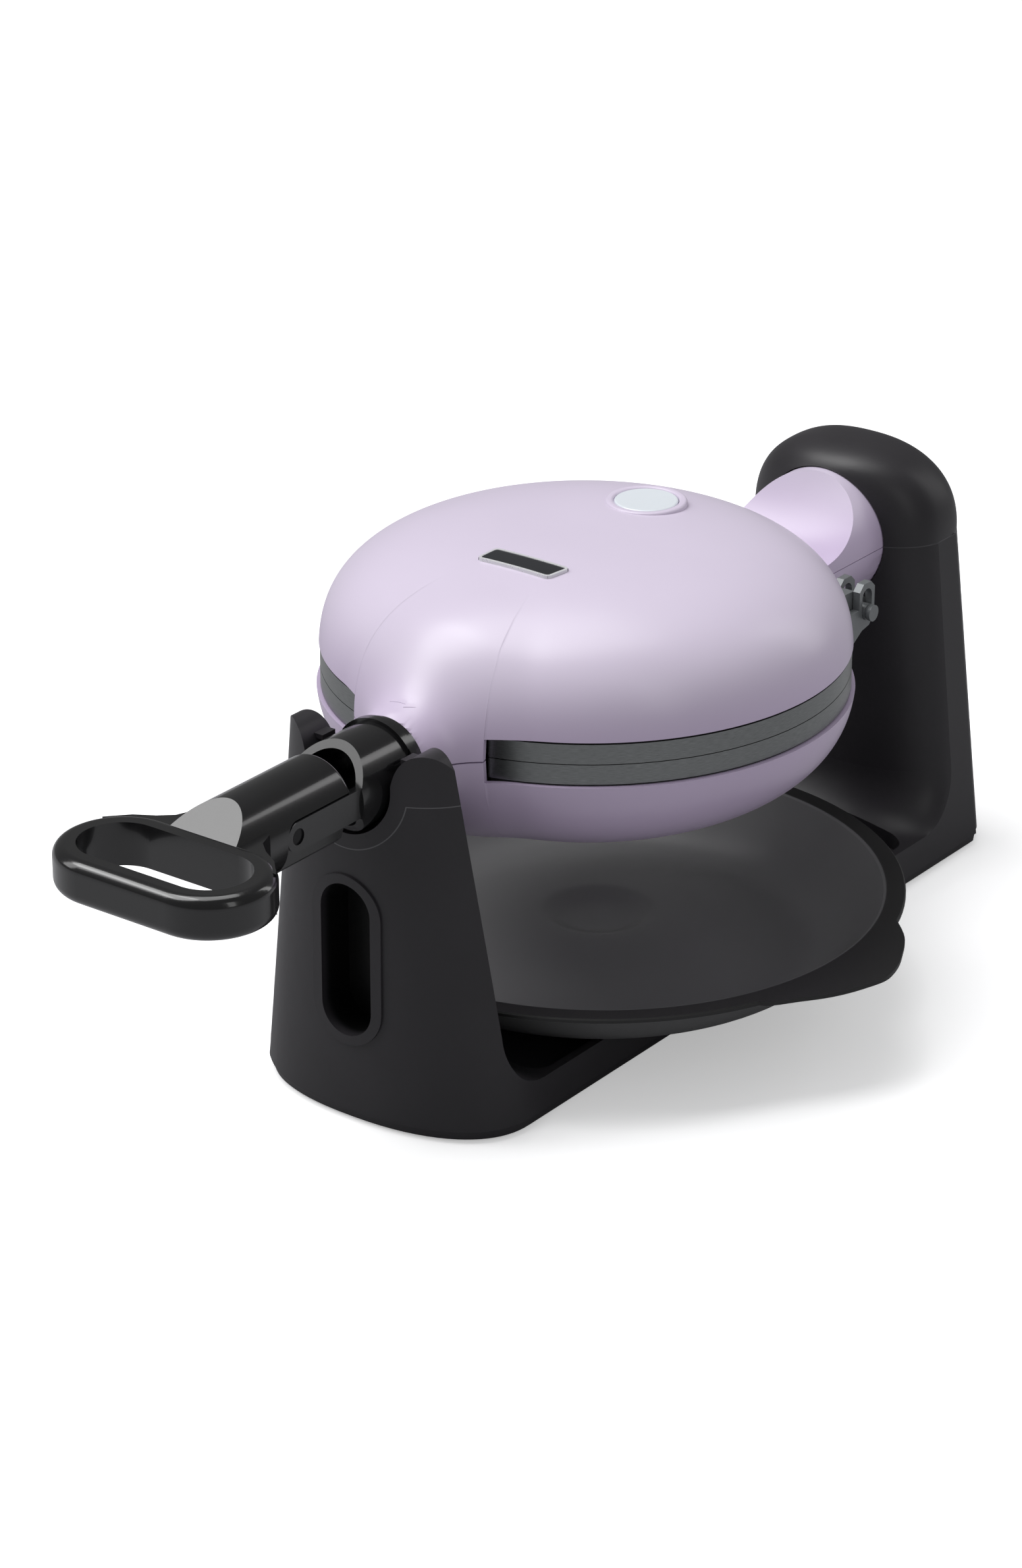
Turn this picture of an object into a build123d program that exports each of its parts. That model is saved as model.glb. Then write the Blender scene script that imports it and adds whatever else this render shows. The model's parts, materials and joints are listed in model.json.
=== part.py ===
from build123d import *
from math import cos, hypot, pi, radians, sin, sqrt
import os

os.makedirs("parts", exist_ok=True)

# Driving sizes, millimetres.
# Drawn with the cooker's centre over the origin, X to the right, Y along the flip axis, Z up.
AXIS_Z = 132.0           # height of the flip axis
SEAM_GAP = 0.3           # between the two halves of the closed cooker

# base housing
BASE_HALF_W = 56.5       # at the floor
SIDE_TAPER = 0.108       # how far each side leans in, per millimetre of height
FRONT_ARC_Y = -108.0     # where the front outline starts to curve in
FRONT_ARC_D = 34.6       # how far the front outline reaches past that
FRONT_POWER = 2.3
REAR_ARC_Y = 181.5
REAR_ARC_D = 30.5
REAR_POWER = 3.0
REAR_TAPER = 0.055
COVER_Z = 4.5            # parting line between housing and bottom cover
COVER_LOW_Z = 1.0
WALL = 2.6
RAIL_Z = 16.5            # top of the side rails
FLARE_R = 22.0           # hollow blend from rail to post
FLARE_Z = RAIL_Z + FLARE_R
FRONT_IN_Y = -121.0      # inner face of the front post at its sides
FRONT_IN_LEAN = 0.095
FRONT_BULGE = 7.5
REAR_IN_Y = 179.0
REAR_BULGE = 23.5
BULGE_POWER = 2.6
CREASE = 0.15            # the bulged faces run this far past the side faces, which leaves a soft crease
WELL_Z = 11.0            # low floor between the rails
WELL_HALF_W = 51.3
WELL_FRONT_Y = -98.0
WELL_REAR_Y = 148.0
CROWN_H = 35.0           # rear cap above the axis
CROWN_POWER = 2.4

# front post window and cradle
WINDOW_HALF_W = 11.0
WINDOW_LOW_Z = 34.7
WINDOW_HIGH_Z = 93.8
BEZEL_HALF_W = 15.3
WINDOW_DEPTH = 15.0
CRADLE_R = 18.6
CRADLE_RING_R = 24.3
CRADLE_LINE_Z = AXIS_Z - 4.0
EAR_TOP_Z = AXIS_Z + 14.8

# collar and fork
COLLAR_R = 16.9
COLLAR_WALL = 2.7
COLLAR_REAR_Y = -118.3
COLLAR_TOP_Y = -143.0    # front rim at the top and bottom
COLLAR_SIDE_Y = -152.5   # front rim where it meets the arms
JOURNAL_R = 18.2
JOURNAL_Y = (-124.8, -121.6)
ARM_IN_X = 12.8
ARM_OUT_X = 15.8
ARM_HALF_H = 5.5
PIVOT_Y = -186.5
PIVOT_Z = AXIS_Z + 0.5
PIVOT_R = 3.0
RUNNING = 0.06           # radial gap of a running fit
SIDE_GAP = 0.4           # side gap of parts that pass each other

# handle
NECK_R = 16.4
NECK_REAR_Y = -157.1
NECK_FULL_Y = -192.5     # the neck is a full round in front of this
LOOP_Y = -237.0
LOOP_R = 22.7
LOOP_HOLE_R = 14.7
LOOP_HALF_X = 19.6       # half distance of the loop's two centres
LOOP_HALF_H = 8.0

# cooker shells
LID_R = 98.5
LID_H = 50.5
LID_POWERS = (3.0, 2.9)
BOWL_R = 99.8
BOWL_H = 52.0
BOWL_POWERS = (2.6, 2.6)
SHELL = 2.4
BAND_R = 98.0
BAND_H = 7.6
LIP_GAP = 0.8            # dark line between shell and band
BAND_GAP_LEFT = 19.6     # degrees either side of the front where the bands stop
BAND_GAP_RIGHT = 15.6
NECK_FLARE = [(-118.3, 16.9), (-113.0, 17.5), (-108.0, 19.3), (-103.0, 22.6), (-98.0, 27.4), (-92.0, 34.0),
              (-84.0, 41.0)]
PLATE_R = 89.0           # waffle field, 178 across
PLATE_RIM_R = 94.8
GRID_PITCH = 19.0
GRID_HALF = 6.6
GRID_DEPTH = 10.5

# rear barrel and spindle
BARREL_R = 27.2
BARREL_FRONT_Y = 101.0
BARREL_END_Y = 165.5
POCKET_GAP = 0.5
POCKET_Y = 166.5
CUP_WALL = 3.0
SPINDLE_R = 9.0
SPINDLE_Y = (144.0, 187.0)
BUSH_R = 14.0
BUSH_Y = (POCKET_Y + CUP_WALL, 183.0)

# lid hinge
HINGE_Y = 104.0
HINGE_Z = AXIS_Z - 2.0
HINGE_PIN_R = 3.2
HINGE_X = 50.0
KNUCKLE_HALF = 2.6
CHEEK_IN = 3.0           # cheek faces from the hinge centre
CHEEK_OUT = 6.0
PIN_X = (42.8, 59.2)
FLOAT = 6.0              # how far the hinge pins can rise in their slots
LID_OPEN = 95.0

# tray
TRAY_X = 4.8
TRAY_Y = 2.5
TRAY_R = 115.6
TRAY_LIP_R = 108.1        # where the dish turns into the flat flange
TRAY_LIP_Z = 41.6
TRAY_T = 1.8
TRAY_REST = 0.15
TAB_X = 135.8
TRAY_PROFILE = [(0, 25.0), (8, 25.3), (14, 26.5), (18.5, 28.4), (21, 29.2), (24, 29.2), (34, 28.0), (48, 24.9),
                (60, 21.6), (70, 19.2), (78, 18.45), (86, 20.4), (93, 25.0), (99, 31.0), (104, 37.0), (107.2, 41.0)]

# fasteners and feet
SCREW_R = 1.7
SCREW_HEAD_R = 3.4
FOOT_R = 8.0
FRONT_SCREWS_XY = [(-34.0, -114.0), (34.0, -114.0)]
REAR_SCREWS_XY = [(-30.0, 204.5), (30.0, 204.5)]
FEET_XY = [(-38.0, -102.0), (38.0, -102.0), (-40.0, 168.0), (40.0, 168.0)]

X_MIN = TRAY_X - TRAY_R
X_MAX = TAB_X
Y_MIN = LOOP_Y - LOOP_R
Y_MAX = REAR_ARC_Y + REAR_ARC_D
SHIFT = Location((-(X_MIN + X_MAX) / 2, -(Y_MIN + Y_MAX) / 2, 0))


def save(shape, node):
    """Move a finished piece into the row frame and write it."""
    solids = shape.solids()
    moved = Compound([s for s in solids if s.volume > 0.5]).moved(SHIFT) if len(solids) > 1 else solids[0].moved(SHIFT)
    export_step(moved, "parts/" + node + ".step")
    b = moved.bounding_box()
    print(node, len(solids), "solids", round(moved.volume), "mm3", [round(v, 1) for v in (*b.min, *b.max)])


def rod(radius, start, end):
    """A round bar between two points."""
    a = Vector(*start)
    d = Vector(*end) - a
    return Solid.make_cylinder(radius, d.length, Plane(origin=a, z_dir=d.normalized()))


def bar_y(radius, y0, y1, x=0.0, z=AXIS_Z):
    return rod(radius, (x, y0, z), (x, y1, z))


def block(x0, x1, y0, y1, z0, z1):
    return Solid.make_box(x1 - x0, y1 - y0, z1 - z0, Plane(origin=(x0, y0, z0)))


def slab(points, z0, z1):
    """A flat outline in plan, pulled up from z0 to z1."""
    return extrude(Pos(0, 0, z0) * make_face(Polyline(*points, close=True)), z1 - z0)


def side_prism(points, half_x):
    """An outline in the Y Z plane, as thick as two half_x."""
    face = make_face(Polyline(*[(0, y, z) for y, z in points], close=True))
    return extrude(face, half_x, dir=(1, 0, 0)) + extrude(face, half_x, dir=(-1, 0, 0))


def front_prism(edges, y0, y1):
    """An outline in the X Z plane, pulled from y0 to y1."""
    return extrude(Pos(0, y0, 0) * make_face(edges), y1 - y0, dir=(0, 1, 0))


def half_width(z, inset=0.0):
    return BASE_HALF_W - SIDE_TAPER * z - inset


def arc_points(a, b, power_a, power_b, count, start=0.0, stop=pi):
    """Points on a squared-off ellipse: the first axis goes from +a to -a, the second stays positive."""
    out = []
    for i in range(count + 1):
        t = start + (stop - start) * i / count
        c = cos(t)
        u = abs(c) ** (2 / power_a) * (1 if c >= 0 else -1)
        out.append((a * u, b * abs(sin(t)) ** (2 / power_b)))
    return out


# Base housing, cradle, rear cap, bottom cover.


def plan_wire(z, inset):
    """Outline of the base seen from above, at height z; it narrows with the leaning sides."""
    a = half_width(z, inset)
    rear_d = REAR_ARC_D - inset - REAR_TAPER * max(0.0, z - COVER_Z)
    front = [(x, FRONT_ARC_Y - y, z) for x, y in arc_points(a, FRONT_ARC_D - inset, FRONT_POWER, FRONT_POWER, 16)]
    rear = [(-x, REAR_ARC_Y + y, z) for x, y in arc_points(a, rear_d, REAR_POWER, REAR_POWER, 16)]
    return Wire([Spline(*front, tangents=((0, -1, 0), (0, 1, 0))), Line(front[-1], rear[0]),
                 Spline(*rear, tangents=((0, 1, 0), (0, -1, 0))), Line(rear[-1], front[0])])


def inner_faces(z, inset):
    """Y of the two posts' inner faces at their sides: hollow blend below, straight above."""
    r = FLARE_R + inset
    reach = sqrt(max(0.0, r * r - max(0.0, FLARE_Z - z) ** 2))
    lean = FRONT_IN_LEAN * max(0.0, z - FLARE_Z)
    return FRONT_IN_Y + FLARE_R - reach - lean, REAR_IN_Y - FLARE_R + reach


def gap_wire(z, inset):
    """Outline of the space between the posts at height z."""
    w = half_width(z, inset) + CREASE
    front_y, rear_y = inner_faces(z, inset)
    far = 80.0
    front = [(-x, front_y + y, z) for x, y in arc_points(w, FRONT_BULGE, BULGE_POWER, 2.0, 14)]
    rear = [(x, rear_y - y, z) for x, y in arc_points(w, REAR_BULGE, BULGE_POWER, 2.0, 14)]
    return Wire([Line((-far, front_y, z), front[0]), Spline(*front), Line(front[-1], (far, front_y, z)),
                 Line((far, front_y, z), (far, rear_y, z)), Line((far, rear_y, z), rear[0]), Spline(*rear),
                 Line(rear[-1], (-far, rear_y, z)), Line((-far, rear_y, z), (-far, front_y, z))])


def base_body(inset, z0, z1):
    """Base outline with the space between the posts taken out, inset all round for the hollow."""
    body = Solid.make_loft([plan_wire(z0, inset), plan_wire(z1, inset)], ruled=True)
    low = RAIL_Z - inset
    heights = [low + (FLARE_Z - low) * (1 - cos(pi / 2 * i / 5)) for i in range(6)]
    body -= Solid.make_loft([gap_wire(z, inset) for z in heights])
    body -= Solid.make_loft([gap_wire(FLARE_Z, inset), gap_wire(200, inset)], ruled=True)
    well = block(-WELL_HALF_W - inset, WELL_HALF_W + inset, WELL_FRONT_Y - inset, WELL_REAR_Y + inset,
                 WELL_Z - inset, RAIL_Z + 12)
    body -= fillet(well.edges().filter_by(Axis.Z), 9)
    return body


def crown(inset):
    """The rear cap: arches that grow from the front, run level over the sides and shrink behind."""
    w = half_width(AXIS_Z, inset)
    h = CROWN_H - inset
    rear_d = REAR_ARC_D - inset - REAR_TAPER * (AXIS_Z - COVER_Z)
    rings = []
    for i in range(7):
        t = radians(66 - 11 * i)
        u = cos(t) ** (2 / BULGE_POWER)
        rings.append((REAR_IN_Y + inset - REAR_BULGE * sin(t), u, u ** 0.35))
    for i in range(7):
        t = radians(4 + 12.5 * i)
        u = cos(t) ** (2 / REAR_POWER)
        rings.append((REAR_ARC_Y + rear_d * sin(t) ** (2 / REAR_POWER), u, cos(t) ** 1.1))
    wires = []
    for y, u, v in rings:
        pts = [(x, y, AXIS_Z + z) for x, z in arc_points(w * u, h * v, CROWN_POWER, CROWN_POWER, 14)]
        wires.append(Wire([Spline(*pts), Line(pts[-1], pts[0])]))
    return Solid.make_loft(wires)


def stadium(half_w, z0, z1, y0, y1):
    """A tall slot shape facing the front."""
    body = block(-half_w, half_w, y0, y1, z0 + half_w, z1 - half_w)
    return body + bar_y(half_w, y0, y1, z=z0 + half_w) + bar_y(half_w, y0, y1, z=z1 - half_w)


def cradle_region(grow=0.0):
    """Everything above the cradle's parting line, with the ring round the channel."""
    return block(-70, 70, -160, -90, CRADLE_LINE_Z, AXIS_Z + 40) + bar_y(CRADLE_RING_R + grow, -160, -90)


def ear_outline():
    right = [(half_width(CRADLE_LINE_Z) + 0.4, CRADLE_LINE_Z), (41.6, AXIS_Z), (38.9, AXIS_Z + 5),
             (35.4, AXIS_Z + 10.6), (32.4, AXIS_Z + 13.6), (28.8, EAR_TOP_Z), (25.0, AXIS_Z + 14.0),
             (21.8, AXIS_Z + 11.2), (19.9, AXIS_Z + 7.6), (CRADLE_R, AXIS_Z + 3)]
    left = [(-x, z) for x, z in reversed(right)]
    return [Line((-70, 0, 0), (70, 0, 0)), Line((70, 0, 0), (70, 0, right[0][1])),
            Line((70, 0, right[0][1]), (right[0][0], 0, right[0][1])), Spline(*[(x, 0, z) for x, z in right]),
            Line((right[-1][0], 0, right[-1][1]), (left[0][0], 0, left[0][1])),
            Spline(*[(x, 0, z) for x, z in left]),
            Line((left[-1][0], 0, left[-1][1]), (-70, 0, right[0][1])), Line((-70, 0, right[0][1]), (-70, 0, 0))]


outer = base_body(0, COVER_Z, AXIS_Z + 16)
hollow = base_body(WALL, COVER_Z - 1, AXIS_Z + 30)
front_half = block(-80, 80, -160, 0, 0, 200)
front_outer = outer & front_half & front_prism(ear_outline(), -160, 0)
rear_outer = (outer - front_half) & block(-80, 80, -1, 240, 0, AXIS_Z)
channel = bar_y(CRADLE_R, -160, -90) + block(-CRADLE_R, CRADLE_R, -160, -90, AXIS_Z, AXIS_Z + 40)

# The cradle piece carries both ears and the ring under the collar.
region = cradle_region()
cradle = (front_outer & region) - channel
lug_z = AXIS_Z + 9.4
for side in (-1, 1):
    tip = COLLAR_R + SIDE_GAP
    lug = block(min(side * tip, side * 22), max(side * tip, side * 22), -132.5, -125.5, lug_z - 0.9, lug_z + 0.9)
    cradle += lug
save(cradle, "front_cradle")

housing_front = front_outer - region
front_hollow = (hollow & front_half) - cradle_region(WALL) - block(-80, 80, -160, 0, CRADLE_LINE_Z - WALL, 240)
housing_front -= front_hollow
window_y = FRONT_ARC_Y - FRONT_ARC_D
pocket_tube = stadium(WINDOW_HALF_W + 2, WINDOW_LOW_Z - 2, WINDOW_HIGH_Z + 2, window_y - 5, window_y + WINDOW_DEPTH + 2)
bezel = stadium(BEZEL_HALF_W, WINDOW_LOW_Z - 3.6, WINDOW_HIGH_Z + 3.6, window_y - 5, window_y + 6)
housing_front += (pocket_tube + bezel) & (front_outer.moved(Pos(0, -0.9, 0)) + front_outer)
housing_front -= stadium(WINDOW_HALF_W, WINDOW_LOW_Z, WINDOW_HIGH_Z, window_y - 9, window_y + WINDOW_DEPTH)
pad = block(3.4, WINDOW_HALF_W, window_y + 9, window_y + WINDOW_DEPTH, WINDOW_LOW_Z + 12, WINDOW_HIGH_Z - 2)
housing_front += pad & stadium(WINDOW_HALF_W, WINDOW_LOW_Z, WINDOW_HIGH_Z, window_y - 9, window_y + WINDOW_DEPTH)

# The rear post carries a cup that the barrel turns in, split at the axis by the cap.
cup = bar_y(BARREL_R + POCKET_GAP + CUP_WALL, 150, POCKET_Y + CUP_WALL)
pocket = bar_y(BARREL_R + POCKET_GAP, 140, POCKET_Y) + bar_y(BUSH_R, 140, POCKET_Y + CUP_WALL + 20)
housing_rear = rear_outer - (hollow - front_half)
housing_rear += rear_outer & cup
housing_rear -= pocket
low_half = block(-80, 80, -200, 260, 0, AXIS_Z)
top_half = block(-80, 80, -200, 260, AXIS_Z, AXIS_Z + 60)
crown_outer = crown(0)
cap = crown_outer - crown(WALL)
cap += crown_outer & cup
cap = (cap - pocket) & top_half
save(cap, "rear_cap")

housing = housing_front + housing_rear
for x, y in FRONT_SCREWS_XY + REAR_SCREWS_XY:
    housing += rod(4.6, (x, y, COVER_Z), (x, y, 30)) & outer
    housing -= rod(SCREW_R, (x, y, 0), (x, y, 18))
save(housing, "base_housing")

cover = Solid.make_loft([plan_wire(COVER_LOW_Z, 1.6), plan_wire(COVER_Z, 0.7)], ruled=True)
screws = []
for x, y in FRONT_SCREWS_XY + REAR_SCREWS_XY:
    cover -= rod(SCREW_R, (x, y, 0), (x, y, 10)) + rod(SCREW_HEAD_R + 0.2, (x, y, 0), (x, y, 2.6))
    screws.append(rod(SCREW_R, (x, y, 2.6), (x, y, 14)) + rod(SCREW_HEAD_R, (x, y, 1.2), (x, y, 2.6)))
feet = []
for x, y in FEET_XY:
    foot = rod(FOOT_R, (x, y, 0), (x, y, 2.6))
    cover -= foot
    feet.append(chamfer(foot.edges().filter_by(GeomType.CIRCLE).sort_by(Axis.Z)[0:1], 0.6))
vents = [block(-14 + 7 * i, -11 + 7 * i, 176, 194, 0, 9) for i in range(5)]
for vent in vents:
    cover -= vent
save(cover, "base_cover")
save(Compound(screws), "base_screws")
save(Compound(feet), "feet")

# Spindle and the bush it turns in.
bush = bar_y(BUSH_R, *BUSH_Y) - bar_y(SPINDLE_R + RUNNING, BUSH_Y[0] - 1, BUSH_Y[1] + 1)
bush += bar_y(BUSH_R, POCKET_Y, BUSH_Y[0]) - bar_y(SPINDLE_R + RUNNING, POCKET_Y - 1, BUSH_Y[0] + 1)
saddle = block(-20, 20, BUSH_Y[0], BUSH_Y[1], AXIS_Z - 26, AXIS_Z) - bar_y(BUSH_R, 150, 200)
save(bush, "rear_bush")
save(saddle & rear_outer, "bush_saddle")
spindle = bar_y(SPINDLE_R, *SPINDLE_Y) - bar_y(SPINDLE_R - 2.2, SPINDLE_Y[0] - 1, SPINDLE_Y[1] + 1)
clip = bar_y(SPINDLE_R + 2.6, BUSH_Y[1] + 0.4, BUSH_Y[1] + 1.8) - bar_y(SPINDLE_R, 150, 200)
save(spindle, "spindle")
save(clip, "spindle_clip")

# Cooker shells.


def dome(radius, height, powers, up=1):
    """Half of a squared-off ellipsoid of revolution, above the seam or below it."""
    pts = arc_points(radius, height, powers[0], powers[1], 14, 0.0, pi / 2)
    curve = Spline(*[(x, 0, AXIS_Z + up * z) for x, z in pts], tangents=((0, 0, up), (-1, 0, 0)))
    edges = [curve, Line((0, 0, AXIS_Z + up * height), (0, 0, AXIS_Z)), Line((0, 0, AXIS_Z), (radius, 0, AXIS_Z))]
    return revolve(make_face(edges), Axis.Z)


def flare(inset, y_front):
    """The neck of both shells: a hollow curve turned about the flip axis."""
    pts = [(0, y, AXIS_Z + r - inset) for y, r in NECK_FLARE]
    a = (0, y_front, AXIS_Z)
    b = (0, NECK_FLARE[-1][0], AXIS_Z)
    first = (0, y_front, pts[0][2])
    edges = [Line(a, first)]
    if abs(y_front - NECK_FLARE[0][0]) > 0.01:
        edges.append(Line(first, pts[0]))
    edges += [Spline(*pts), Line(pts[-1], b), Line(b, a)]
    return revolve(make_face(edges), Axis((0, 0, AXIS_Z), (0, 1, 0)))


def ring(r_in, r_out, z0, z1):
    return rod(r_out, (0, 0, z0), (0, 0, z1)) - rod(r_in, (0, 0, z0 - 1), (0, 0, z1 + 1))


def front_sector(reach):
    """The wedge in plan where the bands stop for the neck."""
    left = radians(BAND_GAP_LEFT)
    right = radians(BAND_GAP_RIGHT)
    pts = [(0, 0), (-reach * sin(left), -reach * cos(left)), (0, -reach), (reach * sin(right), -reach * cos(right))]
    return slab(pts, AXIS_Z - 60, AXIS_Z + 60)


HALF_GAP = SEAM_GAP / 2
above = block(-150, 150, -150, 150, AXIS_Z + HALF_GAP, AXIS_Z + 90)
below = block(-150, 150, -150, 190, AXIS_Z - 90, AXIS_Z - HALF_GAP)
sector = front_sector(125)
band_zone = ring(BAND_R - 3.0, BAND_R + 8, AXIS_Z - BAND_H - LIP_GAP, AXIS_Z + BAND_H + LIP_GAP) - sector
lid_outer = dome(LID_R, LID_H, LID_POWERS)
lid_inner = dome(LID_R - SHELL, LID_H - SHELL, LID_POWERS)
neck_outer = flare(0, COLLAR_REAR_Y)
neck_inner = flare(SHELL, COLLAR_REAR_Y - 1)
lid = (lid_outer + (neck_outer & above)) - lid_inner - neck_inner - band_zone
lid &= above
lid -= ring(0.1, BAND_R - 3.0, AXIS_Z - 1, AXIS_Z + BAND_H + 0.3)
lamp_xy = (0.0, 37.5)
lamp_z = AXIS_Z + LID_H - 1.2
lid += rod(15.3, (*lamp_xy, lamp_z - 3), (*lamp_xy, lamp_z + 1.6)) - lid_inner
lid -= rod(12.1, (*lamp_xy, lamp_z - 8), (*lamp_xy, lamp_z + 9))
knuckle = []
for side in (-1, 1):
    x0 = side * HINGE_X - KNUCKLE_HALF
    x1 = side * HINGE_X + KNUCKLE_HALF
    eye = rod(5.4, (x0, HINGE_Y, HINGE_Z), (x1, HINGE_Y, HINGE_Z))
    arm = side_prism([(82, AXIS_Z + 1.4), (101, HINGE_Z + 1), (106.5, HINGE_Z + 4.6), (100, AXIS_Z + 6.8),
                      (82, AXIS_Z + 7.4)], KNUCKLE_HALF).moved(Pos(side * HINGE_X, 0, 0))
    bore = rod(HINGE_PIN_R + RUNNING, (x0 - 1, HINGE_Y, HINGE_Z), (x1 + 1, HINGE_Y, HINGE_Z))
    knuckle.append((eye + arm) - bore)
arrow = [(-5.5, -107.9), (1.6, -107.9), (1.6, -106.4), (5.5, -108.7), (1.6, -111.0), (1.6, -109.5), (-5.5, -109.5)]
lid += (slab(arrow, AXIS_Z + 12, AXIS_Z + 30) & flare(-0.6, COLLAR_REAR_Y)) - flare(0.8, COLLAR_REAR_Y - 1)
save(lid, "lid_shell")

bowl_outer = dome(BOWL_R, BOWL_H, BOWL_POWERS, -1)
bowl_inner = dome(BOWL_R - SHELL, BOWL_H - SHELL, BOWL_POWERS, -1)
barrel_solid = bar_y(BARREL_R, 70, BARREL_END_Y)
barrel_inner = bar_y(BARREL_R - SHELL, 60, BARREL_END_Y - 3)
bowl = (bowl_outer + (neck_outer & below) + (barrel_solid & below)) - bowl_inner - neck_inner - barrel_inner
bowl -= band_zone
bowl &= below
bowl -= ring(0.1, BAND_R - 3.0, AXIS_Z - BAND_H - 0.3, AXIS_Z + 1)
bowl -= block(-80, 80, -150, NECK_FLARE[0][0] + 0.4, 60, 200)
spindle_hole = bar_y(SPINDLE_R, 120, 200)
bowl -= spindle_hole

# The open lid, turned back about its hinge with a gap, scoops out the top of the barrel.
hinge_line = Axis((0, HINGE_Y, HINGE_Z), (-1, 0, 0))
swept = dome(LID_R + 2.2, LID_H + 2.2, LID_POWERS) + ring(0.1, LID_R + 2.2, AXIS_Z, AXIS_Z + 4)
scoop = swept.rotate(hinge_line, LID_OPEN) + swept.rotate(hinge_line, LID_OPEN / 2)
clear_round = rod(15.0, (-60, HINGE_Y, HINGE_Z), (60, HINGE_Y, HINGE_Z))
barrel_cover = bar_y(BARREL_R, BARREL_FRONT_Y, BARREL_END_Y) & top_half
inside = dome(LID_R + 2.2 + SHELL, LID_H + 2.2 + SHELL, LID_POWERS).rotate(hinge_line, LID_OPEN)
inside += rod(15.0 + SHELL, (-60, HINGE_Y, HINGE_Z), (60, HINGE_Y, HINGE_Z))
barrel_cover -= barrel_inner - inside
barrel_cover = barrel_cover - scoop - clear_round - bar_y(SPINDLE_R, SPINDLE_Y[0], 200)
barrel_cover -= block(-60, 60, 60, HINGE_Y + 8, AXIS_Z - 1, AXIS_Z + 60)
save(barrel_cover, "barrel_cover")

# Slotted hinge brackets stand behind the bowl.
brackets = []
for side in (-1, 1):
    for a, b in ((-CHEEK_OUT, -CHEEK_IN), (CHEEK_IN, CHEEK_OUT)):
        x0 = side * HINGE_X + a
        x1 = side * HINGE_X + b
        cheek = side_prism([(80, AXIS_Z - 20), (93, AXIS_Z - 14), (101, HINGE_Z - 7.0), (106, HINGE_Z - 6), (109.2, HINGE_Z - 2),
                            (109.2, HINGE_Z + FLOAT + 3), (106.5, HINGE_Z + FLOAT + 5.6),
                            (101.5, HINGE_Z + FLOAT + 5.6), (98.8, HINGE_Z + FLOAT + 3), (98.8, AXIS_Z - HALF_GAP),
                            (80, AXIS_Z - HALF_GAP)], (b - a) / 2).moved(Pos((x0 + x1) / 2, 0, 0))
        slot = rod(HINGE_PIN_R + RUNNING, (x0 - 1, HINGE_Y, HINGE_Z), (x1 + 1, HINGE_Y, HINGE_Z))
        slot += slot.moved(Pos(0, 0, FLOAT))
        slot += block(x0 - 1, x1 + 1, HINGE_Y - HINGE_PIN_R - RUNNING, HINGE_Y + HINGE_PIN_R + RUNNING, HINGE_Z,
                      HINGE_Z + FLOAT)
        brackets.append(cheek - slot)
    web = block(side * HINGE_X - CHEEK_IN, side * HINGE_X + CHEEK_IN, 80, 94, AXIS_Z - 13, AXIS_Z - 9)
    brackets.append(web)
bracket_all = brackets[0].fuse(*brackets[1:])
keep_out = bowl_inner + rod(BAND_R, (0, 0, AXIS_Z - BAND_H - 0.3), (0, 0, AXIS_Z + 20))
bracket_all -= keep_out
bowl -= bracket_all
save(bracket_all, "hinge_bracket")
save(max(bowl.solids(), key=lambda s: s.volume), "bowl_shell")
pins = []
for side in (-1, 1):
    a = side * PIN_X[0]
    b = side * PIN_X[1]
    pin = rod(HINGE_PIN_R, (a, HINGE_Y, HINGE_Z), (b, HINGE_Y, HINGE_Z))
    groove = side * (PIN_X[1] - 1.9)
    cut = rod(HINGE_PIN_R + 1, (groove - 0.5, HINGE_Y, HINGE_Z), (groove + 0.5, HINGE_Y, HINGE_Z))
    cut -= rod(HINGE_PIN_R - 0.5, (groove - 1, HINGE_Y, HINGE_Z), (groove + 1, HINGE_Y, HINGE_Z))
    pins.append(pin - cut)
save(Compound(pins), "hinge_pins")


# Bands, waffle plates, heaters.


def half_ring(up):
    """Band round one half, with a flat foot that the plate is screwed to."""
    z0 = AXIS_Z + up * HALF_GAP
    z1 = AXIS_Z + up * BAND_H
    body = ring(BAND_R - 2.4, BAND_R, min(z0, z1), max(z0, z1))
    return body


def waffle_plate(up):
    """Cast plate with a square grid of tapered studs inside a raised rim."""
    z_floor = AXIS_Z + up * GRID_DEPTH
    z_back = AXIS_Z + up * (GRID_DEPTH + 3.2)
    z_rim = AXIS_Z + up * HALF_GAP
    body = rod(PLATE_RIM_R, (0, 0, min(z_floor, z_back)), (0, 0, max(z_floor, z_back)))
    body += ring(PLATE_R, PLATE_RIM_R, min(z_rim, z_floor), max(z_rim, z_floor))
    studs = []
    reach = int(PLATE_R // GRID_PITCH) + 1
    for i in range(-reach, reach + 1):
        for j in range(-reach, reach + 1):
            x = (i + 0.5) * GRID_PITCH
            y = (j + 0.5) * GRID_PITCH
            if hypot(abs(x) + GRID_HALF, abs(y) + GRID_HALF) < PLATE_R - 1.0:
                tip = Rectangle(2 * GRID_HALF - 3.4, 2 * GRID_HALF - 3.4)
                root = Rectangle(2 * GRID_HALF, 2 * GRID_HALF)
                pair = [Pos(x, y, z_floor) * root, Pos(x, y, AXIS_Z + up * 1.6) * tip]
                studs.append(loft(pair, ruled=True).solid())
    return body.fuse(*studs)


upper_band = half_ring(1) - sector
lower_band = half_ring(-1) - sector
for part in knuckle:
    upper_band = upper_band - part
upper_band -= bracket_all
lower_band -= bracket_all
save(upper_band, "upper_band")
save(lower_band, "lower_band")
save(waffle_plate(1), "upper_plate")
save(waffle_plate(-1), "lower_plate")
knuckle_all = knuckle[0].fuse(knuckle[1])
save(knuckle_all - rod(PLATE_RIM_R + 0.01, (0, 0, AXIS_Z), (0, 0, AXIS_Z + 9)), "lid_knuckles")


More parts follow.
